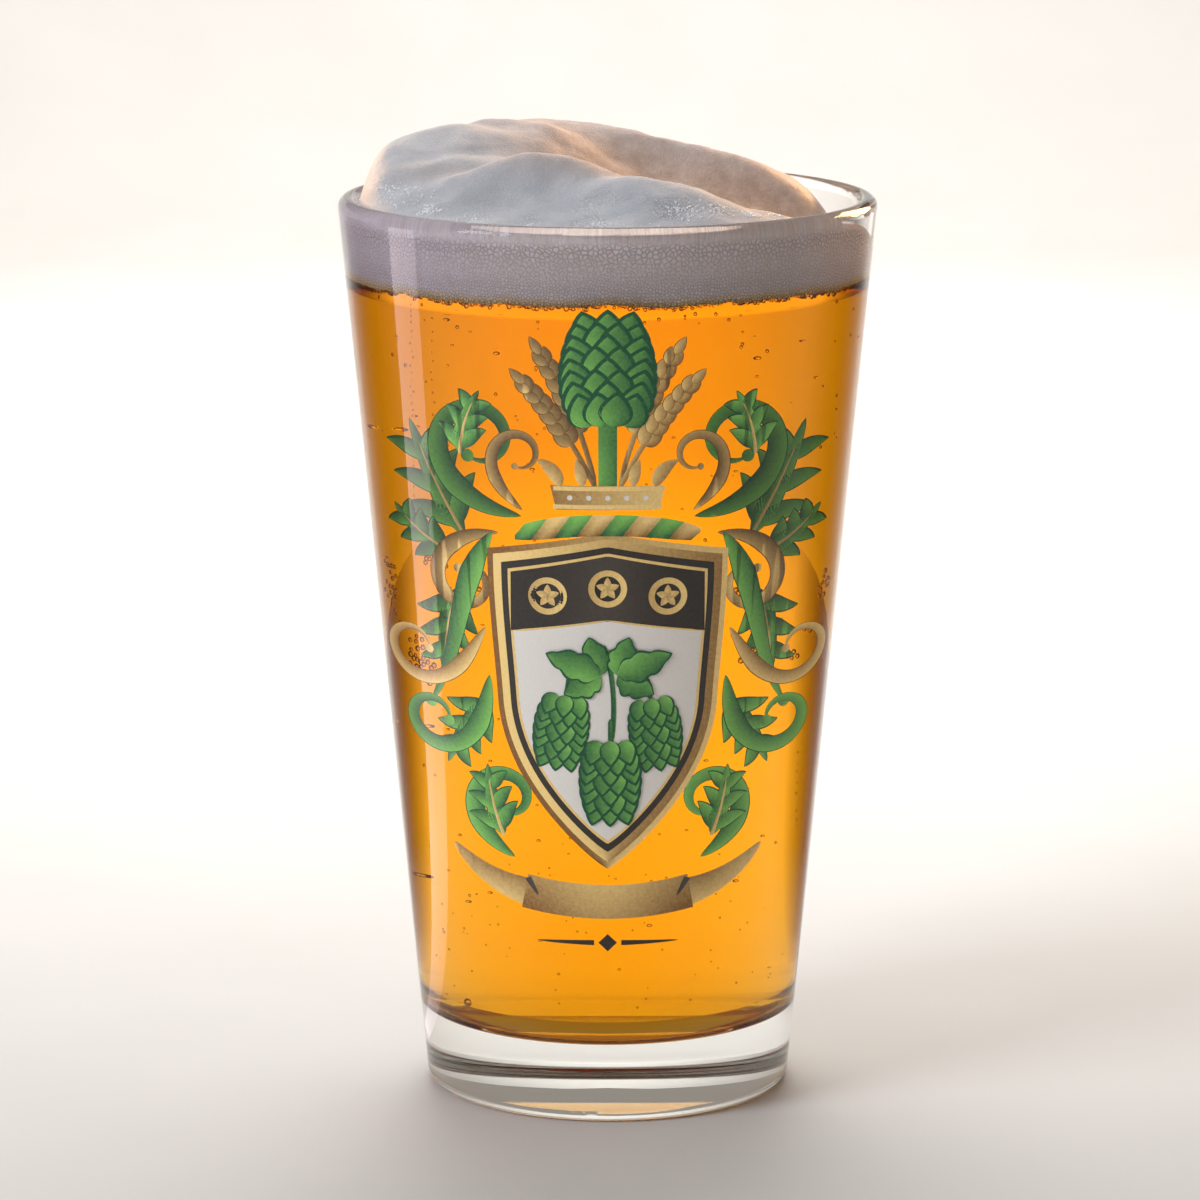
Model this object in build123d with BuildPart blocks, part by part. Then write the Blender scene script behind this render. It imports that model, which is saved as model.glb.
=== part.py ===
from build123d import *
import math
import os

# A conical pint glass of beer with a tall swept head of foam, three pieces in one frame.
# Millimetres, +Z up, origin on the axis of the glass at the level of the table.

# ---- sizes of the glass -------------------------------------------------------
glass_height = 150.0
rim_radius = 44.45
foot_radius = 30.3
wall_at_rim = 3.4
wall_at_floor = 5.5
foot_corner_radius = 2.4
floor_thickness = 12.5
floor_corner_radius = 5.0
punt_radius = 23.5
punt_depth = 1.6

# ---- sizes of the drink -------------------------------------------------------
beer_below_rim = 12.6
foam_edge_below_rim = 1.8
foam_edge_sharpness = 12
foam_patch_margin = 2.2
foam_patch_cells = 36
foam_edge_margin = 1.5
foam_reach = 20.0

# ---- swells of the foam -------------------------------------------------------
# Each row is centre x, centre y, height, half length, half width, turn in degrees.
left_mound = (-23.6, 3.1, 9.0, 11.2, 12.4, 0.0)
left_shoulder = (-51.0, -1.4, 18.1, 11.0, 12.9, 6.7)
left_front_fold = (-25.4, -15.8, 1.2, 8.2, 3.9, 0.0)
back_peak = (-9.6, 14.9, 8.6, 12.9, 10.2, 8.3)
back_ridge = (13.4, 15.1, 6.5, 15.6, 3.6, -9.5)
back_tail = (34.5, 19.1, 5.8, 11.6, 7.6, -23.8)
front_crest = (-11.4, -13.7, 5.4, 8.0, 3.6, 5.8)
front_tail = (5.0, -20.9, 7.2, 12.9, 6.6, -18.9)
swells = (
    left_mound,
    left_shoulder,
    left_front_fold,
    back_peak,
    back_ridge,
    back_tail,
    front_crest,
    front_tail,
)
# The hollow at the right, where the foam has sunk below the rim.
right_hollow = (38.3, 5.5, -8.9, 9.3, 9.5, 0.0)

# ---- sizes that follow --------------------------------------------------------
# The lip is a half circle across the wall, tangent to the outside and to the inside.
wall_lean = math.atan2(rim_radius - foot_radius, glass_height)
lip_outer_z = glass_height - wall_at_rim / 2 * (1 + math.sin(wall_lean))
lip_inner_z = lip_outer_z + wall_at_rim * math.sin(wall_lean)
lip_inner_radius = rim_radius - wall_at_rim * math.cos(wall_lean)
floor_radius = foot_radius + floor_thickness * math.tan(wall_lean) - wall_at_floor
inner_slope = (lip_inner_radius - floor_radius) / (lip_inner_z - floor_thickness)


def inner_radius(z):
    return floor_radius + inner_slope * (z - floor_thickness)


punt_sphere_radius = (punt_radius**2 + punt_depth**2) / (2 * punt_depth)
beer_level = glass_height - beer_below_rim
foam_edge_level = glass_height - foam_edge_below_rim
foam_block_top = glass_height + foam_reach
foam_edge_radius = lip_inner_radius + foam_edge_margin
foam_patch_radius = inner_radius(foam_block_top) + foam_patch_margin


def swell_height(x, y, swell):
    centre_x, centre_y, height, half_length, half_width, turn = swell
    angle = math.radians(turn)
    along = (x - centre_x) * math.cos(angle) + (y - centre_y) * math.sin(angle)
    across = (y - centre_y) * math.cos(angle) - (x - centre_x) * math.sin(angle)
    return height * math.exp(-0.5 * ((along / half_length) ** 2 + (across / half_width) ** 2))


def foam_height(x, y):
    # Height of the foam surface, which falls to its edge just below the lip all round.
    radius = min(math.hypot(x, y), foam_edge_radius)
    fullness = 1.0 - (radius / lip_inner_radius) ** foam_edge_sharpness
    heaped = sum(swell_height(x, y, swell) for swell in swells)
    return foam_edge_level + fullness * heaped + swell_height(x, y, right_hollow)


def disc_point(across, along):
    # A square grid position carried smoothly onto the round patch.
    x = foam_patch_radius * across * math.sqrt(1.0 - along * along / 2.0)
    y = foam_patch_radius * along * math.sqrt(1.0 - across * across / 2.0)
    return (x, y, foam_height(x, y))


# ---- glass --------------------------------------------------------------------
with BuildPart() as glass:
    with BuildSketch(Plane.XZ) as wall_profile:
        with BuildLine():
            inside = Polyline(
                (0, floor_thickness),
                (floor_radius, floor_thickness),
                (lip_inner_radius, lip_inner_z),
            )
            outside = Polyline(
                (rim_radius, lip_outer_z),
                (foot_radius, 0),
                (punt_radius, 0),
            )
            TangentArc(
                outside @ 0,
                inside @ 1,
                tangent=(math.sin(wall_lean), math.cos(wall_lean)),
            )
            RadiusArc((punt_radius, 0), (0, punt_depth), -punt_sphere_radius)
            Line((0, punt_depth), (0, floor_thickness))
        make_face()
        foot_corner = wall_profile.vertices().sort_by_distance((foot_radius, 0))[0]
        fillet(foot_corner, foot_corner_radius)
        floor_corner = wall_profile.vertices().sort_by_distance((floor_radius, floor_thickness))[0]
        fillet(floor_corner, floor_corner_radius)
    revolve(axis=Axis.Z)
glass.part.label = "glass"

# ---- beer ---------------------------------------------------------------------
with BuildPart() as beer:
    with BuildSketch(Plane.XZ) as beer_profile:
        with BuildLine():
            Polyline(
                (0, floor_thickness),
                (floor_radius, floor_thickness),
                (inner_radius(beer_level), beer_level),
                (0, beer_level),
                close=True,
            )
        make_face()
        beer_corner = beer_profile.vertices().sort_by_distance((floor_radius, floor_thickness))[0]
        fillet(beer_corner, floor_corner_radius)
    revolve(axis=Axis.Z)
beer.part.label = "beer"

# ---- foam head ----------------------------------------------------------------
grid = [-1.0 + 2.0 * step / foam_patch_cells for step in range(foam_patch_cells + 1)]
foam_surface = Face.make_surface_from_array_of_points(
    [[disc_point(across, along) for along in grid] for across in grid]
)
with BuildPart() as foam_head:
    with BuildSketch(Plane.XZ):
        with BuildLine():
            Polyline(
                (0, beer_level),
                (inner_radius(beer_level), beer_level),
                (inner_radius(foam_block_top), foam_block_top),
                (0, foam_block_top),
                close=True,
            )
        make_face()
    revolve(axis=Axis.Z)
    extrude(foam_surface, amount=2 * foam_reach, dir=(0, 0, 1), mode=Mode.SUBTRACT)
foam_head.part.label = "foam_head"

os.makedirs("parts", exist_ok=True)
export_step(glass.part, "parts/glass.step")
export_step(beer.part, "parts/beer.step")
export_step(foam_head.part, "parts/foam_head.step")
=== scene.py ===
import math

import bmesh
import bpy
import numpy as np
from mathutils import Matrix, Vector, noise
from mathutils.bvhtree import BVHTree


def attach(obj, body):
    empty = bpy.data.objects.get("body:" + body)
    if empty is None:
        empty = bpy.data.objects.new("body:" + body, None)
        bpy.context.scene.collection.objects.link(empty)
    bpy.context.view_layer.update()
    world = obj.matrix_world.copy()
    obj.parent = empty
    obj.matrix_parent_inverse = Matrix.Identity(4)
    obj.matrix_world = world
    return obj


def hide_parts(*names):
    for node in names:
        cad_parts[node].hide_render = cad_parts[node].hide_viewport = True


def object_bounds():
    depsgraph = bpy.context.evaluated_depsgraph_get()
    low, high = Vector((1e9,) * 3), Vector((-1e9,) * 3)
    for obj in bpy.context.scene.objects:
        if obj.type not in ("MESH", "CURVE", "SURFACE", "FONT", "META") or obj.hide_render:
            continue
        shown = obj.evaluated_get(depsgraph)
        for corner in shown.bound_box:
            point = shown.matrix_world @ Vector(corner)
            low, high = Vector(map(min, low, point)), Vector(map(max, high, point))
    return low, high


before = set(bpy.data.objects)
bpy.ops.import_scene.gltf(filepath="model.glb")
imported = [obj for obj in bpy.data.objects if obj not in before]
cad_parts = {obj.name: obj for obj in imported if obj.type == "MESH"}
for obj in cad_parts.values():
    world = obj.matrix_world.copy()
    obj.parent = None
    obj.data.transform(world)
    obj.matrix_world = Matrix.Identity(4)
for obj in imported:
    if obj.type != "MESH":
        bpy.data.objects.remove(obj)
cad_low, cad_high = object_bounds()
rng = np.random.default_rng(16)
MM = 0.001

# ---- sizes of the drink, in millimetres ----------------------------------------
HEIGHT, RIM, FOOT = 150.0, 44.45, 30.3
WALL_RIM, WALL_FLOOR = 3.4, 5.5
FLOOR, FLOOR_CORNER = 12.5, 5.0
LEVEL = HEIGHT - 12.6
EDGE_LEVEL = HEIGHT - 1.8
EDGE_SHARPNESS = 12
INTO_WALL = 0.12          # how far the drink reaches into the wall
INTO_FOAM = 0.4           # how far the beer reaches up into the foam
PATTERN_RADIUS = 40.0     # about the drink's radius, for patterns that run round it
LEAN = math.atan2(RIM - FOOT, HEIGHT)
LIP_R = RIM - WALL_RIM * math.cos(LEAN)
LIP_Z = HEIGHT - WALL_RIM / 2 * (1 + math.sin(LEAN)) + WALL_RIM * math.sin(LEAN)
FLOOR_R = FOOT + FLOOR * math.tan(LEAN) - WALL_FLOOR
INNER_SLOPE = (LIP_R - FLOOR_R) / (LIP_Z - FLOOR)

# The mounds of the foam: centre x, centre y, height, half length, half width, turn in degrees.
SWELLS = (
    (-23.6, 3.1, 9.0, 11.2, 12.4, 0.0),
    (-51.0, -1.4, 18.1, 11.0, 12.9, 6.7),
    (-25.4, -15.8, 1.2, 8.2, 3.9, 0.0),
    (-9.6, 14.9, 8.6, 12.9, 10.2, 8.3),
    (13.4, 15.1, 6.5, 15.6, 3.6, -9.5),
    (34.5, 19.1, 5.8, 11.6, 7.6, -23.8),
    (-11.4, -13.7, 5.4, 8.0, 3.6, 5.8),
    (5.0, -20.9, 7.2, 12.9, 6.6, -18.9),
)
HOLLOW = (38.3, 5.5, -8.9, 9.3, 9.5, 0.0)
# Folds too small for the solid: a crest over the left mound with the crease behind it, two soft
# ribs, and a fold with its crease low at the front left.
FOLDS = (
    (-27.5, 3.5, 1.5, 7.0, 2.6, 6.0),
    (-17.0, 7.0, -1.3, 4.5, 2.2, 30.0),
    (-13.0, 9.5, 0.9, 8.0, 1.6, -12.0),
    (-6.0, 9.0, 0.9, 9.0, 6.0, -8.0),
    (-24.0, -8.5, 0.9, 9.0, 1.8, 14.0),
    (-24.0, -12.0, -0.9, 8.0, 1.6, 12.0),
)
# Where the foam is tan, not cream, as painted warm light and shade: painted warm shade in the valley at the
# right, and a painted warm glow along a crest at the front.
VALLEY_PAINTED_SHADE = (15.0, 0.5, 1.25, 21.0, 9.5, -16.0)
CREST_PAINTED_GLOW = (-2.0, -16.0, 0.45, 22.0, 2.2, -10.0)


def outer_radius(z):
    return FOOT + (RIM - FOOT) * z / HEIGHT


def inner_radius(z):
    return FLOOR_R + INNER_SLOPE * (z - FLOOR)


def swell(x, y, row):
    cx, cy, high, half_length, half_width, turn = row
    a = math.radians(turn)
    u = (x - cx) * math.cos(a) + (y - cy) * math.sin(a)
    v = (y - cy) * math.cos(a) - (x - cx) * math.sin(a)
    return high * np.exp(-0.5 * ((u / half_length) ** 2 + (v / half_width) ** 2))


def foam_height(x, y):
    radius = np.hypot(x, y)
    fullness = 1.0 - (radius / LIP_R) ** EDGE_SHARPNESS
    return EDGE_LEVEL + fullness * sum(swell(x, y, s) for s in SWELLS + FOLDS) + swell(x, y, HOLLOW)


def smooth(low, high, value):
    t = np.clip((value - low) / (high - low), 0.0, 1.0)
    return t * t * (3.0 - 2.0 * t)


def ripple(points, size, seed):
    # Soft noise between -1 and 1 at a list of points.
    offset = Vector((seed * 7.3, seed * 3.1, seed * 5.7))
    return np.array([noise.noise(Vector(p) / size + offset) for p in points])


# ---- mesh helpers ----------------------------------------------------------------
def make_object(name, vertices, faces, values=None, shade=True):
    # A mesh object from millimetres. values holds one number for each vertex under each name.
    mesh = bpy.data.meshes.new(name)
    mesh.from_pydata((np.asarray(vertices, float) * MM).tolist(), [], faces)
    for key, data in (values or {}).items():
        layer = mesh.attributes.new(key, "FLOAT", "POINT")
        layer.data.foreach_set("value", np.asarray(data, np.float32))
    if shade:
        mesh.shade_smooth()
    mesh.update()
    piece = bpy.data.objects.new(name, mesh)
    bpy.context.scene.collection.objects.link(piece)
    return piece


def ring_faces(rings, around, closed_ends):
    # Quads between neighbouring rings of the same count. Each closed end is a ring, a tip and a flip.
    faces = []
    for i in range(rings - 1):
        a, b = i * around, (i + 1) * around
        for j in range(around):
            k = (j + 1) % around
            faces.append((a + j, a + k, b + k, b + j))
    for row, tip, flip in closed_ends:
        for j in range(around):
            k = (j + 1) % around
            corners = (row * around + j, row * around + k, tip)
            faces.append(corners[::-1] if flip else corners)
    return faces


def finish_piece(piece, material, replaced=None):
    piece.data.materials.append(material)
    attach(piece, "root")
    if replaced:
        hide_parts(replaced)


# ---- material helpers --------------------------------------------------------------
class Look:
    """A material with its nodes, and short ways to add more of them."""

    def __init__(self, name):
        self.material = bpy.data.materials.new(name)
        self.material.use_nodes = True
        self.tree = self.material.node_tree
        self.shader = self.tree.nodes["Principled BSDF"]
        self.output = self.tree.nodes["Material Output"]

    def set(self, **values):
        for key, value in values.items():
            self.shader.inputs[key.replace("_", " ")].default_value = value

    def drive(self, name, source):
        self.link(source, self.shader.inputs[name])

    def add(self, kind, **settings):
        node = self.tree.nodes.new(kind)
        for key, value in settings.items():
            if key.startswith("in_"):
                node.inputs[key[3:].replace("_", " ")].default_value = value
            else:
                setattr(node, key, value)
        return node

    def link(self, source, target):
        self.tree.links.new(source, target)

    def connect(self, socket, value):
        # A link from another node, or a constant set on the socket.
        if isinstance(value, bpy.types.NodeSocket):
            self.link(value, socket)
        else:
            socket.default_value = (*value, 1.0) if isinstance(value, tuple) else value

    def place(self):
        return self.add("ShaderNodeTexCoord").outputs["Object"]

    def axes(self):
        # The x, y and z of the point, in metres.
        split = self.add("ShaderNodeSeparateXYZ")
        self.link(self.place(), split.inputs[0])
        return split.outputs

    def scaled(self, size_mm, stretch=(1, 1, 1)):
        mapping = self.add("ShaderNodeMapping")
        k = 1.0 / (size_mm * MM)
        mapping.inputs["Scale"].default_value = [k / s for s in stretch]
        self.link(self.place(), mapping.inputs["Vector"])
        return mapping.outputs["Vector"]

    def wrapped(self, across_mm, up_mm):
        # Coordinates round the drink and up it, in steps of the two sizes.
        flat = self.add("ShaderNodeCombineXYZ")
        self.link(self.math("DIVIDE", self.value("arc"), across_mm), flat.inputs[0])
        self.link(self.math("DIVIDE", self.axes()[2], up_mm * MM), flat.inputs[1])
        return flat.outputs[0]

    def noise(self, size_mm, detail=3.0, rough=0.5, stretch=(1, 1, 1)):
        tex = self.add("ShaderNodeTexNoise", in_Scale=1.0, in_Detail=detail, in_Roughness=rough)
        self.link(self.scaled(size_mm, stretch), tex.inputs["Vector"])
        return tex.outputs["Fac"]

    def cells(self, size_mm):
        tex = self.add("ShaderNodeTexVoronoi", in_Scale=1.0)
        self.link(self.scaled(size_mm), tex.inputs["Vector"])
        return tex.outputs["Distance"]

    def seams(self, size_mm):
        # Flat cells on the side of the drink, as the distance from the nearest seam.
        tex = self.add("ShaderNodeTexVoronoi", voronoi_dimensions="2D", in_Scale=1.0,
                       feature="DISTANCE_TO_EDGE")
        self.link(self.wrapped(size_mm, size_mm), tex.inputs["Vector"])
        return tex.outputs["Distance"]

    def streaks(self, across_mm, up_mm):
        tex = self.add("ShaderNodeTexNoise", noise_dimensions="2D", in_Scale=1.0, in_Detail=3.0,
                       in_Roughness=0.7)
        self.link(self.wrapped(across_mm, up_mm), tex.inputs["Vector"])
        return tex.outputs["Fac"]

    def value(self, name):
        return self.add("ShaderNodeAttribute", attribute_name=name).outputs["Fac"]

    def upper_side(self):
        # 1 on the side that the faces point to, 0 on their backs.
        return self.math("SUBTRACT", 1.0, self.add("ShaderNodeNewGeometry").outputs["Backfacing"])

    def ramp(self, fac, *stops):
        node = self.add("ShaderNodeValToRGB")
        line = node.color_ramp
        while len(line.elements) < len(stops):
            line.elements.new(0.5)
        for element, (position, colour) in zip(line.elements, stops):
            element.position = position
            element.color = (*colour, 1.0)
        self.link(fac, node.inputs["Fac"])
        return node.outputs["Color"]

    def between(self, fac, first, second):
        # A soft change from one colour to another over the middle of a noise.
        return self.ramp(fac, (0.3, first), (0.7, second))

    def mix(self, fac, first, second, mode="MIX"):
        node = self.add("ShaderNodeMix", data_type="RGBA", blend_type=mode)
        for number, value in ((0, fac), (6, first), (7, second)):
            self.connect(node.inputs[number], value)
        return node.outputs[2]

    def math(self, how, first, second=0.0, third=0.0, clamp=False):
        node = self.add("ShaderNodeMath", operation=how, use_clamp=clamp)
        for number, value in enumerate((first, second, third)):
            self.connect(node.inputs[number], value)
        return node.outputs[0]

    def range(self, value, low, high, to_low=0.0, to_high=1.0):
        node = self.add("ShaderNodeMapRange", in_From_Min=low, in_From_Max=high, in_To_Min=to_low,
                        in_To_Max=to_high)
        self.link(value, node.inputs["Value"])
        return node.outputs["Result"]

    def bump(self, height, distance_mm, strength=1.0, before=None):
        node = self.add("ShaderNodeBump", in_Strength=strength, in_Distance=distance_mm * MM)
        self.link(height, node.inputs["Height"])
        if before:
            self.link(before, node.inputs["Normal"])
        return node.outputs["Normal"]


# ---- materials -------------------------------------------------------------------
def wall_middle(z):
    return (outer_radius(z) + inner_radius(z)) / 2


def glass_material():
    look = Look("clear_glass")
    look.set(Transmission_Weight=1.0, IOR=1.5)
    wipe = look.noise(9.0, 4.0, 0.6, (1, 1, 3))
    look.drive("Base Color", look.between(wipe, (0.985, 0.99, 0.985), (1.0, 1.0, 1.0)))
    look.drive("Roughness", look.range(wipe, 0.55, 0.8, 0.0, 0.03))
    # The drink wets the inside of the wall, which then mirrors almost nothing head on.
    x, y, z = look.axes()
    square = look.math("ADD", look.math("MULTIPLY", x, x), look.math("MULTIPLY", y, y))
    slope = wall_middle(1.0) - wall_middle(0.0)
    middle = look.math("MULTIPLY_ADD", z, slope, wall_middle(0.0) * MM)
    inside = look.math("LESS_THAN", look.math("SQRT", square), middle)
    over_floor = look.math("GREATER_THAN", z, (FLOOR - 1) * MM)
    under_edge = look.math("LESS_THAN", z, EDGE_LEVEL * MM)
    wet = look.math("MULTIPLY", inside, look.math("MULTIPLY", over_floor, under_edge))
    look.drive("Specular Tint", look.ramp(wet, (0.0, (0.45, 0.45, 0.45)), (1.0, (0.03, 0.03, 0.03))))
    volume = look.add("ShaderNodeVolumeAbsorption", in_Color=(0.88, 0.92, 0.87, 1.0), in_Density=5.0)
    look.link(volume.outputs[0], look.output.inputs["Volume"])
    return look.material


def beer_material():
    look = Look("amber_beer")
    look.set(Transmission_Weight=1.0, IOR=1.34, Roughness=0.0, Specular_Tint=(0.05, 0.05, 0.05, 1.0))
    haze = look.noise(14.0, 2.0)
    look.drive("Base Color", look.between(haze, (1.0, 0.64, 0.28), (1.0, 0.66, 0.36)))
    volume = look.add("ShaderNodeVolumeAbsorption", in_Color=(0.9985, 0.93, 0.0, 1.0), in_Density=150.0)
    look.link(volume.outputs[0], look.output.inputs["Volume"])
    return look.material


def bubble_material():
    # For balls whose faces point inwards, so that a ray passes from beer to gas as it enters one.
    look = Look("gas_bubble")
    look.set(Transmission_Weight=1.0, IOR=1.34, Roughness=0.0)
    film = look.noise(0.6, 2.0)
    look.drive("Base Color", look.between(film, (0.94, 0.86, 0.74), (1.0, 1.0, 1.0)))
    return look.material


def foam_top_colour(look, fine, cloud):
    # The free top: satin cream, tan where warm light and shade are painted, and patches of bubbles at the
    # front with painted glints.
    clump = look.noise(7.0, 4.0, 0.6)
    cream = look.ramp(clump, (0.25, (0.42, 0.45, 0.51)), (0.55, (0.52, 0.54, 0.59)),
                      (0.8, (0.62, 0.63, 0.66)))
    # The tan of the painted warm light and shade, darker and warmer than the cream.
    tan = look.between(cloud, (0.48, 0.33, 0.25), (0.68, 0.51, 0.42))
    # Painted glints: near-white dots on the cells in patches at the front, with painted shade darkening the
    # gaps between them.
    front = look.range(look.axes()[1], -18 * MM, -30 * MM)
    painted_glint_patch = look.math("MULTIPLY", look.range(look.noise(6.0, 2.0), 0.50, 0.62), front)
    painted_gap_shade = look.math("MULTIPLY", look.range(fine, 0.35, 0.7), look.range(painted_glint_patch, 0.0, 1.0, 0.08, 0.40))
    painted_glints = look.math("MULTIPLY", look.range(fine, 0.0, 0.32, 0.85, 0.0),
                     look.range(painted_glint_patch, 0.0, 1.0, 0.10, 0.75))
    top = look.mix(painted_gap_shade, look.mix(look.value("painted_warm_light"), cream, tan), (0.20, 0.20, 0.24))
    return look.mix(painted_glints, top, (0.97, 0.97, 1.0))


def foam_seams(look, low):
    # The side behind glass: flattened cells, finer towards the drink, and streaks under the rim.
    # 0 is a seam, 1 the middle of a cell.
    wide = look.range(look.seams(0.74), 0.0, 0.32)
    small = look.range(look.seams(0.52), 0.0, 0.30)
    cells = look.mix(look.range(low, 0.25, 0.75), wide, small)
    streak = look.range(look.streaks(0.35, 3.0), 0.35, 0.62, 0.30, 1.0)
    return look.mix(look.range(low, 0.03, 0.13, 0.85, 0.0), cells, streak)


def foam_side_colour(look, seam, cloud, low):
    # Lilac behind the glass, with a painted cool light that makes it bluer and darker at the left, and golden
    # where the foam meets the beer.
    # The seams are real cell walls; their darkness and the lightest middles, here and in the golden ramp, are
    # painted shade and highlight of round bubbles.
    lilac = look.ramp(seam, (0.0, (0.60, 0.51, 0.56)), (0.35, (0.83, 0.76, 0.81)),
                      (1.0, (0.97, 0.92, 0.96)))
    lilac = look.mix(look.range(cloud, 0.35, 0.7, 0.0, 0.35), lilac, (0.80, 0.66, 0.60))
    # Painted cool light from the left: the lilac is multiplied bluer and darker towards that side.
    left = look.range(look.axes()[0], -44 * MM, -8 * MM, 0.6, 0.0)
    lilac = look.mix(left, lilac, (0.88, 0.80, 1.0), "MULTIPLY")
    golden = look.ramp(seam, (0.0, (0.32, 0.15, 0.01)), (0.8, (0.95, 0.66, 0.18)))
    return look.mix(look.range(low, 0.84, 1.0, 0.0, 0.9), lilac, golden)


def foam_material():
    look = Look("creamy_foam")
    band, low = look.value("band"), look.value("low")
    fine = look.cells(0.38)
    cloud = look.noise(2.2, 4.0, 0.65)
    seam = foam_seams(look, low)
    top = foam_top_colour(look, fine, cloud)
    side = foam_side_colour(look, seam, cloud, low)
    look.drive("Base Color", look.mix(band, top, side))
    look.drive("Roughness", look.range(fine, 0.0, 0.5, 0.25, 0.55))
    look.set(Subsurface_Weight=0.12, Subsurface_Scale=0.0015, Specular_IOR_Level=0.45)
    look.set(Subsurface_Radius=(1.0, 0.8, 0.65))
    silk = look.noise(1.4, 5.0, 0.7, (3.2, 1.0, 1.0))
    silk_bump = look.bump(silk, 0.11, 0.6)
    pore_bump = look.bump(look.math("MULTIPLY", fine, -1.0), 0.08, 0.8, silk_bump)
    cell_walls = look.math("MULTIPLY", look.math("SQRT", seam), band)
    look.drive("Normal", look.bump(cell_walls, 0.17, 1.0, pore_bump))
    return look.material


def sparkle_material():
    look = Look("foam_bubble_painted_glint")
    # Near white and lighter than the foam around them: a painted glint over the bubbles' real gloss.
    spot = look.noise(0.5, 2.0)
    look.drive("Base Color", look.between(spot, (0.72, 0.74, 0.80), (0.96, 0.97, 1.0)))
    look.set(Roughness=0.12, Specular_IOR_Level=0.7, Coat_Weight=0.4, Coat_Roughness=0.05)
    return look.material


def ink_material(name, dark, light, metal, rough):
    # Printed enamel: a colour that runs from dark to light across each stroke, with a fine grain.
    look = Look(name)
    grain = look.noise(0.5, 3.0, 0.6)
    tone = look.math("ADD", look.value("tone"), look.range(grain, 0.3, 0.7, -0.10, 0.10), clamp=True)
    middle = tuple((a + b) / 2 for a, b in zip(dark, light))
    look.drive("Base Color", look.ramp(tone, (0.0, dark), (0.5, middle), (1.0, light)))
    look.drive("Roughness", look.range(grain, 0.2, 0.8, rough - 0.08, rough + 0.08))
    look.set(Metallic=metal)
    look.drive("Normal", look.bump(grain, 0.01, 0.4))
    return look.material


# ---- glass -------------------------------------------------------------------------
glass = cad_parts["glass"]
for material_slot in glass.material_slots:
    material_slot.material = glass_material()


# ---- beer --------------------------------------------------------------------------
def build_beer():
    # A revolved profile: out along the floor, round its corner, up the wall and back in.
    around = 256
    wall_lean = math.atan(INNER_SLOPE)
    corner_r = FLOOR_R - FLOOR_CORNER / math.tan((math.pi / 2 + wall_lean) / 2)
    corner_z = FLOOR + FLOOR_CORNER
    bottom, top = FLOOR - INTO_WALL, LEVEL + INTO_FOAM
    profile = [(r, bottom) for r in np.linspace(0.5, corner_r, 8)]
    for a in np.linspace(0, math.pi / 2 - wall_lean, 14)[1:]:
        out = FLOOR_CORNER + INTO_WALL
        profile.append((corner_r + out * math.sin(a), corner_z - out * math.cos(a)))
    for z in np.linspace(profile[-1][1], top, 40)[1:]:
        profile.append((inner_radius(z) + INTO_WALL / math.cos(wall_lean), z))
    profile += [(r, top) for r in np.linspace(inner_radius(top), 0.5, 6)]
    turns = np.linspace(0, 2 * math.pi, around, endpoint=False)
    points = [(r * math.cos(t), r * math.sin(t), z) for r, z in profile for t in turns]
    points += [(0, 0, bottom), (0, 0, top)]
    rings = len(profile)
    ends = ((0, rings * around, True), (rings - 1, rings * around + 1, False))
    return make_object("beer_body", points, ring_faces(rings, around, ends))


finish_piece(build_beer(), beer_material(), "beer")


# ---- foam --------------------------------------------------------------------------
# The foam ends just under the solid's highest point: from the knee up, it is pressed down.
CROWN = cad_high[2] / MM - 0.08
KNEE = CROWN - 3.0
PEAK = CROWN + 0.8


def foam_fringe(turns):
    # Uneven lower edge of the foam where it meets the beer, as a height above the level.
    ring = [(math.cos(t) * PATTERN_RADIUS, math.sin(t) * PATTERN_RADIUS, 0) for t in turns]
    return 0.55 * ripple(ring, 9.0, 2) + 0.35 * ripple(ring, 2.5, 3) - 0.1


def foam_lumps(x, y):
    # Lumps finer than the solid: long ones that follow the folds, round ones, and a fine grain.
    long_places = list(zip(x * 0.45 + y * 0.12, y - x * 0.22, x * 0))
    places = list(zip(x, y, x * 0))
    long_lumps = 0.42 * ripple(long_places, 5.0, 1) + 0.10 * ripple(long_places, 2.0, 4)
    round_lumps = 0.35 * ripple(places, 6.5, 9) + 0.20 * ripple(places, 3.2, 5)
    return long_lumps + round_lumps + 0.035 * ripple(places, 0.9, 6)


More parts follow.
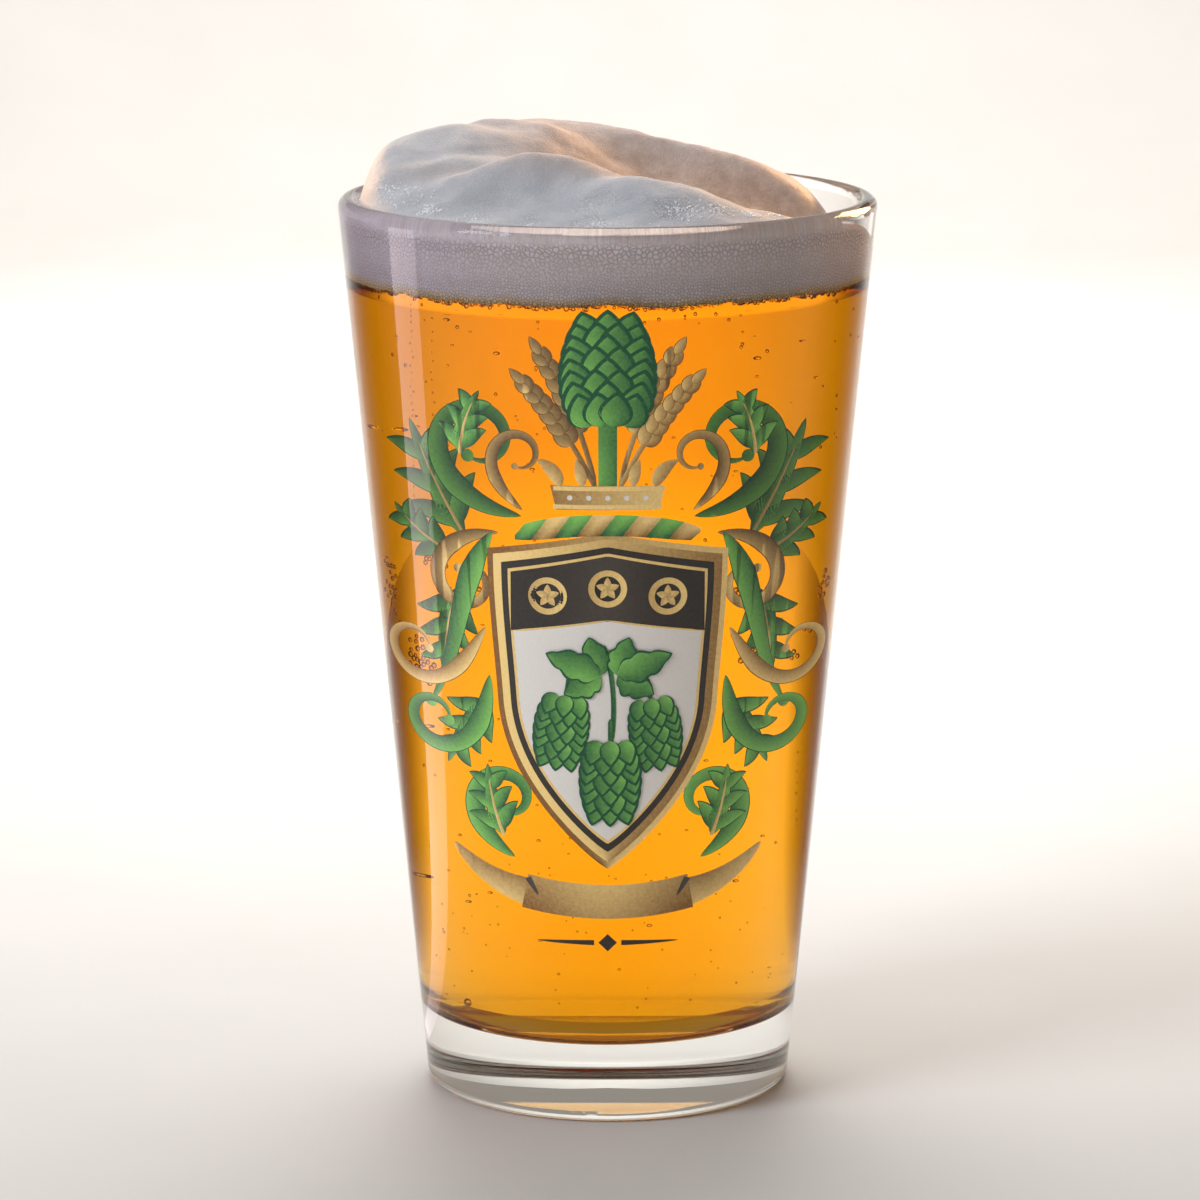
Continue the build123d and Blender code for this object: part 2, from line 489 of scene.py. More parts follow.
def build_foam():
    around, top_rows, side_rows, bottom_rows = 480, 138, 26, 10
    turns = np.linspace(0, 2 * math.pi, around, endpoint=False)
    cos, sin = np.cos(turns), np.sin(turns)
    rings = []

    def add_ring(radius, z, painted_warm_light, band, low):
        rows = (radius * cos, radius * sin, z, painted_warm_light, band, low)
        rings.append([np.broadcast_to(row, around) for row in rows])

    # the free top, from the middle out into the wall
    edge_z = foam_height(LIP_R * cos, LIP_R * sin)
    edge_r = inner_radius(edge_z) + INTO_WALL
    for i in range(1, top_rows + 1):
        s = i / top_rows
        x, y = edge_r * s * cos, edge_r * s * sin
        known_r = np.minimum(edge_r * s, LIP_R)
        lumpy = np.clip((1.0 - s) * 9.0, 0.0, 1.0)
        z = foam_height(known_r * cos, known_r * sin) + lumpy * foam_lumps(x, y)
        z = np.where(z > KNEE, KNEE + (z - KNEE) * (CROWN - KNEE) / (PEAK - KNEE), z)
        # Painted warm light: the valley, the front crest and the right side, where warm light from behind
        # falls, get tan in place of cream.
        painted_warm_light = swell(x, y, VALLEY_PAINTED_SHADE) + swell(x, y, CREST_PAINTED_GLOW) + 0.55 * smooth(10.0, 36.0, x)
        add_ring(edge_r * s, z, np.clip(painted_warm_light, 0.0, 1.0), smooth(0.985, 1.0, s), 0.0)
    # down the wall to the fringe
    fringe = LEVEL + foam_fringe(turns)
    for i in range(1, side_rows + 1):
        s = i / side_rows
        z = edge_z + (fringe - edge_z) * s
        add_ring(inner_radius(z) + INTO_WALL, z, 0.0, 1.0, s)
    # back in over the beer
    for i in range(1, bottom_rows):
        radius = (inner_radius(fringe) - 0.2) * (1.0 - (i / bottom_rows) ** 0.8)
        dimples = ripple(list(zip(radius * cos, radius * sin, radius * 0)), 1.5, 8)
        add_ring(radius, fringe + 0.25 * dimples - 0.15, 0.0, 1.0, 1.0)

    count = len(rings)
    top_tip = (0.0, 0.0, float(foam_height(0.0, 0.0)), 0.3, 0.0, 0.0)
    low_tip = (0.0, 0.0, LEVEL, 0.0, 1.0, 1.0)
    table = np.concatenate([np.concatenate(rings, axis=1), np.transpose([top_tip, low_tip])], axis=1)
    # Distance round the drink from the front. It runs back past each side, so it has no jump.
    arc = np.append(np.tile(PATTERN_RADIUS * np.arcsin(np.sin(turns + math.pi / 2)), count), [0.0, 0.0])
    ends = ((0, count * around, False), (count - 1, count * around + 1, True))
    faces = [f[::-1] for f in ring_faces(count, around, ends)]
    values = {"painted_warm_light": table[3], "band": table[4], "low": table[5], "arc": arc}
    return make_object("foam_top", table[:3].T, faces, values)


foam_top = build_foam()
finish_piece(foam_top, foam_material(), "foam_head")


# ---- bubbles -------------------------------------------------------------------------
def ball(divisions):
    mesh = bmesh.new()
    bmesh.ops.create_icosphere(mesh, subdivisions=divisions, radius=1.0)
    mesh.verts.ensure_lookup_table()
    points = np.array([v.co[:] for v in mesh.verts])
    faces = [[v.index for v in f.verts] for f in mesh.faces]
    mesh.free()
    return points, np.array(faces)


def build_balls(name, rows, divisions=2, hollow=False):
    # rows: x, y, z, radius. A hollow in the drink has its faces turned inwards.
    unit, faces = ball(divisions)
    if hollow:
        faces = faces[:, ::-1]
    rows = np.array(rows)
    points = (rows[:, None, :3] + unit[None] * rows[:, None, 3:4]).reshape(-1, 3)
    all_faces = (faces[None] + (np.arange(len(rows)) * len(unit))[:, None, None]).reshape(-1, 3)
    return make_object(name, points, all_faces.tolist())


SINK = 0.15               # how deep a large bubble sits in the wall, as a part of its radius


def on_wall(degrees, z, radius, sink=0.0):
    # A bubble that clings to the inside of the wall. 0 degrees faces the front, +90 the right.
    a = math.radians(degrees)
    r = inner_radius(z) - radius * (1 - sink)
    return (r * math.sin(a), -r * math.cos(a), z, radius)


def seen_degrees(x, z):
    # Angle round the glass at which a point of the front shows x millimetres right of the axis.
    return math.degrees(math.asin(max(-0.97, min(0.97, x / outer_radius(z)))))


def build_beads():
    # One row of beads all round, just under the foam.
    count = 900
    rows = []
    for i in range(count):
        degrees = 360.0 * (i + rng.uniform(-0.45, 0.45)) / count
        radius = 0.16 + 0.30 * rng.random() ** 2.2
        edge = LEVEL + float(foam_fringe([math.radians(degrees - 90)])[0])
        z = edge - rng.uniform(-0.25, 0.75) * (0.4 + radius)
        rows.append(on_wall(degrees, z, radius, SINK))
    return build_balls("foam_beads", rows, 2, True)


def build_clusters():
    # Groups that cling to the wall. Each makes twice count tries, and keeps those that find room.
    # middle angle, middle height, spread across, spread in height, count, largest radius
    groups = (
        (-49.0, 93.6, 4.0, 1.6, 16, 0.52),
        (-73.0, 86.5, 3.0, 4.5, 24, 0.50),
        (-45.0, 80.8, 2.0, 1.6, 7, 0.62),
        (-62.0, 76.5, 4.0, 4.5, 26, 0.52),
        (-56.5, 73.8, 2.5, 2.0, 11, 0.62),
        (-34.5, 89.8, 2.0, 1.2, 6, 0.60),
        (-20.0, 96.0, 1.5, 1.2, 4, 0.50),
        (35.0, 89.5, 2.0, 1.2, 7, 0.60),
        (75.0, 87.0, 3.0, 2.2, 18, 0.50),
        (67.0, 80.5, 3.0, 0.8, 10, 0.55),
        (43.0, 78.5, 3.0, 1.2, 8, 0.60),
        (57.5, 76.5, 3.0, 0.7, 11, 0.55),
        (51.0, 73.5, 1.5, 1.0, 4, 0.62),
    )
    rows = []
    for middle, height, across, tall, count, largest in groups:
        for _ in range(2 * count):
            radius = largest * rng.uniform(0.7, 1.05)
            z = height + rng.normal(0, tall * 0.5)
            bubble = on_wall(middle + rng.normal(0, across * 0.6), z, radius, SINK)
            if all(math.dist(bubble[:3], other[:3]) > 0.9 * (radius + other[3]) for other in rows):
                rows.append(bubble)
    return build_balls("wall_bubbles", rows, 3, True)


def build_rising():
    rows = []
    # columns that rise from one spot: x as seen from the front, lowest and highest z, mean step
    for x, start, stop, step in ((-33, 97, 136, 1.1), (-29.5, 110, 135, 1.6), (33, 46, 60, 1.5)):
        z = start
        while z < stop:
            degrees = seen_degrees(x, z) + rng.normal(0, 0.25)
            rows.append(on_wall(degrees, z, rng.uniform(0.10, 0.20)))
            z += step * rng.uniform(0.7, 1.4)
    # scattered over the front, more of them towards the foam
    for _ in range(60):
        z = LEVEL - 1.5 - 42.0 * rng.random() ** 1.6
        rows.append(on_wall(rng.uniform(-75, 75), z, rng.uniform(0.14, 0.34)))
    # low on the front
    for _ in range(46):
        z = rng.uniform(19.0, 44.0)
        rows.append(on_wall(rng.uniform(-70, 70), z, rng.uniform(0.10, 0.20)))
    # free in the beer
    for _ in range(170):
        z = rng.uniform(17.0, LEVEL - 2.0)
        r = inner_radius(z) * math.sqrt(rng.random()) * 0.95
        a = rng.uniform(0, 2 * math.pi)
        rows.append((r * math.cos(a), r * math.sin(a), z, rng.uniform(0.10, 0.26)))
    # over the back
    for _ in range(120):
        z = rng.uniform(24.0, LEVEL - 1.0)
        rows.append(on_wall(rng.uniform(90, 270), z, rng.uniform(0.12, 0.36)))
    # one large bubble in the corner of the floor
    rows.append(on_wall(-54.0, 17.5, 0.7, SINK))
    return build_balls("rising_bubbles", rows, 2, True)


GAS = bubble_material()
for bubbles in (build_beads(), build_clusters(), build_rising()):
    finish_piece(bubbles, GAS)


def build_sparkle(surface):
    # Open bubbles that stand out of the foam in thick patches, low on its front.
    corners = [v.co for v in surface.data.vertices]
    tree = BVHTree.FromPolygons(corners, [p.vertices for p in surface.data.polygons])
    down, above_all, rim_gap = Vector((0, 0, -1)), 200.0, 1.4
    rows = []
    for k in range(17):
        cx = -36 + 3.9 * k + rng.uniform(-1, 1)
        cy = rng.uniform(1.5, 9.0) - math.sqrt(LIP_R**2 - cx**2)
        wide = rng.uniform(0.9, 2.1)
        for _ in range(130):
            x, y = cx + rng.normal(0, wide), cy + rng.normal(0, wide * 0.8)
            if math.hypot(x, y) > LIP_R - rim_gap:
                continue
            radius = 0.07 + 0.17 * rng.random() ** 3
            hit = tree.ray_cast(Vector((x, y, above_all)) * MM, down)[0]
            if hit is not None:
                rows.append((x, y, hit.z / MM - 0.15 * radius, radius))
    return build_balls("foam_sparkle", rows)


foam_sparkle = build_sparkle(foam_top)
finish_piece(foam_sparkle, sparkle_material())


# ---- printed badge -------------------------------------------------------------------
class Badge:
    """Strips of colour laid on the outside of the glass, each ink one joined mesh.

    x runs right and z up, in millimetres as seen from the front. What is drawn over
    something else has more lift over the glass.
    """

    def __init__(self):
        self.inks = {}
        self.lift = 0.0

    def up(self, amount=0.006):
        self.lift += amount

    def sheet(self, ink, grid, tones):
        # grid: rows of (x, z), tones: one number from 0 to 1 for each.
        points, faces, values = self.inks.setdefault(ink, ([], [], []))
        start, wide = len(points), len(grid[0])
        for row, row_tones in zip(grid, tones):
            for (x, z), tone in zip(row, row_tones):
                r = outer_radius(z)
                a = math.asin(max(-0.985, min(0.985, x / r)))
                r += self.lift
                points.append((r * math.sin(a), -r * math.cos(a), z))
                values.append(tone)
        for i in range(len(grid) - 1):
            for j in range(wide - 1):
                a = start + i * wide + j
                faces.append((a, a + 1, a + wide + 1, a + wide))

    def field(self, ink, half_width, low, high, tone=0.5, lean=0.0, rows=8, across=22):
        # A shape symmetric about the upright axis, from the width at each height.
        line = np.linspace(-1, 1, across)
        heights = np.linspace(low, high, rows)
        tones = [min(1.0, max(0.0, tone + lean * t)) for t in line]
        self.sheet(ink, [[(half_width(z) * t, z) for t in line] for z in heights], [tones] * rows)

    def stroke(self, ink, x, z, heading, length, curl, wide, bend=0.0, taper="leaf", lobes=0,
               tone=(0.1, 0.9), steps=34):
        # A curved stroke from a start, a heading and how far it turns, in degrees. Gives its end.
        t = np.linspace(0, 1, steps)
        angle = np.radians(heading + curl * t + bend * t * t)
        step = length / (steps - 1)
        px = x + np.concatenate([[0], np.cumsum(np.cos(angle[:-1]) * step)])
        pz = z + np.concatenate([[0], np.cumsum(np.sin(angle[:-1]) * step)])
        if taper == "leaf":
            half = wide * np.sin(math.pi * np.clip(t, 0.0, 1.0) ** 0.75) ** 0.8 + 0.03
        elif taper == "scroll":
            half = wide * np.minimum(1.0, t * 4.0) ** 0.7 * (1.0 - t) ** 0.6 + 0.03
        elif taper == "tail":
            half = wide * (1.0 - t) ** 0.6 + 0.03
        else:
            half = wide * np.minimum(1.0, np.minimum(t, 1 - t) * 8 + 0.25)
        left = half * (1 + 0.30 * np.abs(np.sin(math.pi * lobes * t))) if lobes else half
        right = half * (1 + 0.30 * np.abs(np.cos(math.pi * lobes * t))) if lobes else half
        grid, tones = [], []
        for i in range(steps):
            nx, nz = -math.sin(angle[i]), math.cos(angle[i])
            shine = 0.75 + 0.25 * math.sin(6 * t[i])
            row, row_tones = [], []
            for s in np.linspace(-1, 1, 7):
                w = left[i] * s if s > 0 else right[i] * s
                row.append((px[i] + nx * w, pz[i] + nz * w))
                row_tones.append(tone[0] + (tone[1] - tone[0]) * (0.5 + 0.5 * s) * shine)
            grid.append(row)
            tones.append(row_tones)
        self.sheet(ink, grid, tones)
        return px[-1], pz[-1]

    def both(self, ink, x, z, heading, length, curl, wide, bend=0.0, tone=(0.1, 0.9), **more):
        # The same stroke on the left, and mirrored on the right. Gives the end of the left one.
        end = self.stroke(ink, x, z, heading, length, curl, wide, bend, tone=tone, **more)
        self.stroke(ink, -x, z, 180 - heading, length, -curl, wide, -bend, tone=tone[::-1], **more)
        return end

    def dot(self, ink, x, z, radius, tone=0.7):
        # A disc of three rings, the first almost a point.
        spokes = [(math.cos(a), math.sin(a)) for a in np.linspace(0, 2 * math.pi, 33)]
        rings = (0.02, 0.5, 1.0)
        grid = [[(x + radius * s * c, z + radius * s * h) for s in rings] for c, h in spokes]
        self.sheet(ink, grid, [[min(1.0, tone + 0.25 * s * c) for s in rings] for c, h in spokes])


def edged(grow, tone):
    # A dark shape that is a little larger, then the coloured one over it.
    return ((0.0, 0.0), grow), (tone, 0.0)


SHIELD_TOP, SHIELD_SHOULDER, SHIELD_POINT, SHIELD_HALF = 100.6, 97.3, 44.3, 19.3
FIELD_INSET = 3.6         # the pale field and the dark band inside the shield's border
BAND_LOW = 83.9
RULE_Z = 31.6


def shield_half(inset):
    # The half width of the shield at each height, its point and its peak, for one layer.
    top, shoulder = SHIELD_TOP - inset * 1.05, SHIELD_SHOULDER - inset
    point, half = SHIELD_POINT + inset * 1.35, SHIELD_HALF - inset * 1.05

    def width(z):
        if z >= shoulder:
            return half * max(0.0, (top - z) / (top - shoulder))
        t = (z - point) / (shoulder - point)
        side = 0.895 + 0.105 * smooth(0.35, 1.0, t)
        return half * side * math.sin(math.pi / 2 * min(1.0, max(0.0, t / 0.52))) ** 0.85
    return width, point, top


def shield(badge, ink, inset, tone, lean=0.0):
    # One layer of the shield: rows up to the shoulder, then columns up to the peak.
    rows = 70
    width, point, top = shield_half(inset)
    shoulder = SHIELD_SHOULDER - inset
    line = np.linspace(-1, 1, 50)
    shades = [float(np.clip(tone + lean * t, 0, 1)) for t in line]
    heights = point + (shoulder - point) * np.linspace(0, 1, rows) ** 1.5
    badge.sheet(ink, [[(width(z) * t, z) for t in line] for z in heights], [shades] * rows)
    half = width(shoulder - 1e-6)
    rise = top - shoulder
    cap = [[(half * t, shoulder + rise * (1 - abs(t)) * s) for t in line] for s in np.linspace(0, 1, 6)]
    badge.sheet(ink, cap, [shades] * len(cap))
    badge.up()


def draw_shield(badge):
    # gold border, dark border with a gold line, pale field
    shield(badge, "gold", 0.0, 0.45, 0.5)
    shield(badge, "gold", 0.9, 0.62, -0.45)
    shield(badge, "dark", 2.15, 0.3)
    shield(badge, "gold", 3.15, 0.85)
    shield(badge, "cream", FIELD_INSET, 0.5)


def draw_band(badge):
    # A dark band across the top of the field, a gold line under it and three ringed stars on it.
    width, _, top = shield_half(FIELD_INSET)
    half = width(SHIELD_SHOULDER - FIELD_INSET - 0.1)
    line = np.linspace(-1, 1, 50)
    low = [BAND_LOW + 2.1 * (1 - abs(t)) for t in line]
    eaves = SHIELD_SHOULDER - FIELD_INSET
    roof = [eaves + (top - eaves) * (1 - abs(t)) for t in line]
    grid = []
    for s in np.linspace(0, 1, 26):
        grid.append([(half * t, a + (b - a) * s) for t, a, b in zip(line, low, roof)])
    badge.sheet("dark", grid, [[0.25 + 0.5 * math.exp(-6 * t * t) for t in line]] * len(grid))
    badge.up()
    for side in (-1, 1):
        badge.stroke("gold", side * 14.9, BAND_LOW, 90 + side * 81.5, 15.1, 0, 0.16, taper="bar",
                     tone=(0.7, 0.9))
    for x, z in ((-9.6, 90.0), (0.0, 91.4), (9.6, 90.0)):
        badge.dot("gold", x, z, 3.1, 0.75)
        badge.up()
        badge.dot("dark", x, z, 2.1, 0.2)
        badge.up()
        for k in range(5):
            badge.stroke("gold", x, z, 90 + 72 * k, 1.9, 0, 0.55, tone=(0.5, 1.0), steps=12)
        badge.up()


def draw_hops(badge):
    # A sprig on the pale field: a stem, three hanging cones and two lobed leaves.
    badge.stroke("green", -0.5, 82.0, 285, 17.0, -24, 0.40, taper="bar", tone=(0.0, 0.3))
    badge.up()
    for x, z, size, lean in ((-6.6, 74.0, 12.5, 262), (6.8, 73.4, 12.0, 278), (0.4, 66.5, 14.0, 270)):
        a = math.radians(lean)
        badge.stroke("green", x - 3.2 * math.cos(a), z - 3.2 * math.sin(a), lean, 4.0, 0, 0.35,
                     taper="bar", tone=(0.0, 0.3), steps=8)
        draw_cone(badge, x, z, size, size * 0.34, lean, 7)
    for x, z, heading in ((-1.2, 77.0, 158), (1.6, 77.0, 22)):
        for spread in (-52, 52, 0):
            long = 9.0 if spread == 0 else 6.4
            for grow, wide, tone in ((1.04, 2.05, (0.0, 0.0)), (1.0, 1.75, (0.15, 0.9))):
                badge.stroke("green", x, z, heading + spread, long * grow, 0, wide, lobes=3, tone=tone,
                             steps=26)
                badge.up(0.002)


def draw_cone(badge, x, z, length, wide, heading, rows):
    # A hop cone from its stalk at x, z towards its tip: pointed scales, laid from the tip up.
    a = math.radians(heading)
    for k in range(rows):
        s = 1.0 - (k + 0.75) / rows
        cx, cz = x + math.cos(a) * length * s * 0.84, z + math.sin(a) * length * s * 0.84
        half = wide * 1.75 * (s + 0.10) ** 0.5 * (1.03 - s) ** 0.6
        scales = 4 if k % 2 else 3
        middle = (scales - 1) / 2
        for j in sorted(range(scales), key=lambda j: -abs(j - middle)):
            off = (j - middle) / middle
            sx, sz = cx + math.sin(a) * half * off * 0.60, cz - math.cos(a) * half * off * 0.60
            bright = (0.25, 1.0) if off <= 0 else (0.15, 0.8)
            for reach, thick, tone in ((1.06, 0.36, (0.0, 0.0)), (0.93, 0.29, bright)):
                badge.stroke("green", sx, sz, heading - off * 24, length * 0.31 * reach, off * 12,
                             wide * thick, tone=tone, steps=14)
                badge.up(0.0015)


def draw_bar(badge):
    # A twisted bar over the shield, in turns of two inks.
    turns, half = 8, 14.8
    for k in range(turns):
        grid, tones = [], []
        for s in np.linspace(0, 1, 10):
            row, row_tones = [], []
            for t in np.linspace(-1, 1, 9):
                x = max(-half, min(half, -14.6 + 29.2 * (k + s) / turns + 1.3 * t))
                z = 101.9 - 0.0085 * x * x + 1.75 * t * (1 - 0.45 * (abs(x) / half) ** 6)
                row.append((x, z))
                row_tones.append(float(np.clip(0.55 + 0.45 * t - 0.15 * math.cos(2 * math.pi * s), 0, 1)))
            grid.append(row)
            tones.append(row_tones)
        badge.sheet("gold" if k % 2 else "green", grid, tones)


def draw_ear(badge, x, z, heading, length, curl, big):
    # A stalk, then two rows of grains with dark edges that close at the tip.
    points, bare = 40, 16
    badge.stroke("gold", x, z, heading, length, curl, 0.42, taper="bar", tone=(0.1, 0.7))
    badge.up(0.002)
    t = np.linspace(0, 1, points)
    angle = np.radians(heading + curl * t)
    px = x + np.concatenate([[0], np.cumsum(np.cos(angle[:-1]) * length / (points - 1))])
    pz = z + np.concatenate([[0], np.cumsum(np.sin(angle[:-1]) * length / (points - 1))])
    for k in range(bare, points, 4):
        here = math.degrees(angle[k])
        size = big * (3.9 - 1.2 * (k - bare) / (points - 1 - bare))
        for side, bright in ((-1, (0.1, 0.85)), (1, (0.25, 1.0))):
            for tone, grow in edged(0.14, bright):
                badge.stroke("gold", px[k], pz[k], here + side * 36, size + grow, -side * 34,
                             size * 0.27 + grow, tone=tone, steps=14)
                badge.up(0.001)
    for tone, grow in edged(0.14, (0.3, 1.0)):
        badge.stroke("gold", px[-1], pz[-1], math.degrees(angle[-1]), 3.2 * big + grow, 0, 0.7 + grow,
                     tone=tone, steps=12)
        badge.up(0.001)


def draw_crest(badge):
    # Grain ears and a hop cone that stand out of a tied band.
    for side in (-1, 1):
        for lean, reach, big in ((11, 24, 1.0), (23, 21, 0.95)):
            draw_ear(badge, side * 1.8, 107.5, 90 - side * lean, reach, -side * 22, big)
    badge.stroke("green", 0.0, 106.5, 90, 14.0, 0, 1.5, taper="bar", tone=(0.2, 0.8))
    badge.up()
    draw_cone(badge, 0.0, 117.5, 18.0, 7.6, 90, 8)
    badge.field("gold", lambda z: 8.2 + 0.9 * (z - 104.6) / 3.6, 104.4, 108.4, 0.55, 0.4)
    badge.up()
    for z in (104.9, 107.9):
        badge.field("gold", lambda _: 8.6, z - 0.35, z + 0.35, 0.95, rows=4)
    badge.up()
    for k in range(5):
        badge.dot("cream", -6.0 + 3.0 * k, 106.4, 0.42, 0.5)
    for side in (-1, 1):
        badge.stroke("gold", side * 7.5, 108.2, 90 - side * 12, 6.0, -side * 62, 1.1, tone=(0.2, 0.9))
        badge.stroke("gold", side * 4.0, 108.3, 90 - side * 4, 4.6, -side * 20, 0.9, tone=(0.3, 1.0))


def draw_ribbon(badge):
    # A blank ribbon with a notch at each end, and a plain rule under it.
    line = np.linspace(-1, 1, 9)
    grid, tones = [], []
    for s in np.linspace(-1, 1, 40):
        grid.append([(13.4 * s - 0.5 * t * s, 38.6 + 1.3 * s * s + 2.9 * t) for t in line])
        tones.append([float(np.clip(0.38 + 0.22 * math.cos(3 * s) + 0.18 * t, 0, 1)) for t in line])
    badge.sheet("gold", grid, tones)
    badge.up()
    for side in (-1, 1):
        badge.stroke("dark", side * 12.9, 42.2, 90 + side * 150, 3.4, 0, 0.5, taper="tail",
                     tone=(0.6, 1.0), steps=10)
    for side in (-1, 1):
        badge.stroke("dark", side * 2.2, RULE_Z, 90 - side * 90, 9.2, 0, 0.42, taper="tail",
                     tone=(0.3, 0.3), steps=18)
    half = 1.5
    badge.field("dark", lambda z: half - abs(z - RULE_Z), RULE_Z - half, RULE_Z + half, 0.3, rows=9,
                across=5)


def frond(badge, x, z, heading, length, curl, wide):
    # A cut leaf on each side of the glass: pointed fingers that fan from a curved rib.
    fingers = 3
    for tone, grow in edged(0.2, (0.1, 1.0)):
        for k in range(fingers):
            t = (k + 0.3) / (fingers + 0.5)
            a = math.radians(heading + curl * t * 0.5)
            px, pz = x + math.cos(a) * length * t, z + math.sin(a) * length * t
            reach = length * 0.50 * (1.0 - 0.45 * t) + grow
            thick = wide * 0.50 * (1 - 0.3 * t) + grow
            for side in (-1, 1):
                badge.both("green", px, pz, heading + curl * t + side * 26, reach, side * 46, thick,
                           tone=tone, steps=18)
        badge.both("green", x, z, heading, length + grow, curl, wide * 0.75 + grow, taper="scroll",
                   tone=tone, steps=24)
        badge.up(0.002)
    badge.both("gold", x, z, heading, length * 0.8, curl * 0.8, 0.26, taper="tail", tone=(0.5, 0.9),
               steps=20)
    badge.up(0.002)


def volute(badge, ink, x, z, heading, length, curl, bend, wide):
    # A scroll on each side of the glass that tightens to a round eye, with a dark edge.
    for tone, grow in edged(0.2, (0.1, 1.0)):
        end_x, end_z = badge.both(ink, x, z, heading, length, curl, wide + grow, bend, tone,
                                  taper="scroll", steps=60)
        badge.up(0.002)
    for side in (-1, 1):
        badge.dot(ink, side * end_x, end_z, wide * 0.5)
    badge.up(0.002)


def draw_bines(badge):
    # Ribbon tails, then leafy scrolls on both sides of the shield.
    badge.both("gold", -12.0, 39.6, 172, 15.0, -40, 2.5, taper="tail", tone=(0.15, 0.85))
    badge.up()
    frond(badge, -23.0, 99.0, 122, 20.0, -12, 3.0)
    frond(badge, -25.5, 96.0, 160, 11.0, -30, 2.4)
    frond(badge, -24.0, 90.0, 250, 15.0, 22, 2.6)
    frond(badge, -18.6, 72.0, 226, 14.0, 26, 2.4)
    volute(badge, "gold", -17.5, 100.0, 186, 33.0, 70, 330, 1.5)
    volute(badge, "green", -13.8, 103.0, 172, 45.0, -64, -330, 2.1)
    volute(badge, "gold", -13.6, 104.0, 140, 26.0, -20, -330, 1.1)
    volute(badge, "green", -18.5, 100.0, 236, 32.0, 84, -80, 2.0)
    volute(badge, "gold", -19.6, 84.0, 240, 33.0, 50, -390, 1.4)
    volute(badge, "green", -19.0, 76.0, 262, 34.0, 30, -400, 1.8)
    volute(badge, "green", -15.0, 45.5, 150, 32.0, -60, -320, 1.8)
    frond(badge, -23.6, 112.5, 88, 11.0, -30, 2.2)
    frond(badge, -16.8, 49.0, 112, 12.0, -20, 2.2)


def draw_badge():
    # Each group starts at its own lift, so that it passes over the groups that it has to cover.
    badge = Badge()
    badge.lift = 0.05
    draw_bines(badge)
    badge.lift = 0.12
    draw_shield(badge)
    draw_band(badge)
    draw_hops(badge)
    badge.lift = 0.20
    draw_bar(badge)
    badge.lift = 0.06
    draw_crest(badge)
    badge.lift = 0.14
    draw_ribbon(badge)
    return badge


INKS = {
    "green": ink_material("ink_green", (0.004, 0.085, 0.035), (0.24, 0.60, 0.12), 0.0, 0.38),
    "gold": ink_material("ink_gold", (0.26, 0.11, 0.022), (1.0, 0.71, 0.27), 0.05, 0.34),
    "dark": ink_material("ink_dark", (0.012, 0.009, 0.007), (0.085, 0.068, 0.055), 0.0, 0.35),
    "cream": ink_material("ink_cream", (0.72, 0.68, 0.62), (0.90, 0.87, 0.83), 0.0, 0.42),
}
for ink_name, (ink_points, ink_faces, ink_tones) in draw_badge().inks.items():
    print_layer = make_object("badge_" + ink_name, ink_points, ink_faces, {"tone": ink_tones})
    finish_piece(print_layer, INKS[ink_name])


# ---- studio --------------------------------------------------------------------------
def build_stage():
    # A pale round floor that curves up to a low wall on every side.
    flat, radius, tall, around = 1060.0, 260.0, 420.0, 96
    line = [(r, 0.0) for r in np.linspace(0.0, flat, 12)[1:]]
    for a in np.linspace(0, math.pi / 2, 20)[1:]:
        line.append((flat + radius * math.sin(a), radius * (1 - math.cos(a))))
    line.append((flat + radius, tall))
    turns = np.linspace(0, 2 * math.pi, around, endpoint=False)
    points = [(r * math.cos(t), r * math.sin(t), z) for r, z in line for t in turns] + [(0.0, 0.0, 0.0)]
    faces = [f[::-1] for f in ring_faces(len(line), around, ((0, len(line) * around, True),))]
    stage = make_object("studio_floor", points, faces)
    look = Look("pale_floor")
    look.drive("Base Color", look.between(look.noise(60.0, 2.0), (0.79, 0.775, 0.755), (0.82, 0.805, 0.785)))
    look.set(Roughness=0.75)
    stage.data.materials.append(look.material)


def build_stripe():
    # The glass leans out, so it mirrors the floor: a glowing wedge beside it gives the pale stripe.
    near, far, height = 38.0, 720.0, 2.0
    slant, offset, spread = 0.10, 12.0, 0.15
    points = []
    for d in (near, far):
        points += [(-d, slant * d + offset + side * spread * d, height) for side in (-1, 1)]
    stripe = make_object("studio_stripe", points, [(0, 1, 3, 2)], shade=False)
    look = Look("stripe_glow")
    look.set(Base_Color=(0.0, 0.0, 0.0, 1.0), Emission_Color=(1.0, 0.86, 0.90, 1.0), Roughness=1.0)
    glow = look.range(look.axes()[0], -60 * MM, -140 * MM, 1.6, 4.0)
    upper = look.upper_side()
    look.drive("Emission Strength", look.math("MULTIPLY", glow, upper))
    look.drive("Alpha", upper)
    stripe.data.materials.append(look.material)
    stripe.visible_camera = False
    stripe.visible_transmission = False
    stripe.visible_diffuse = False
    stripe.visible_shadow = False


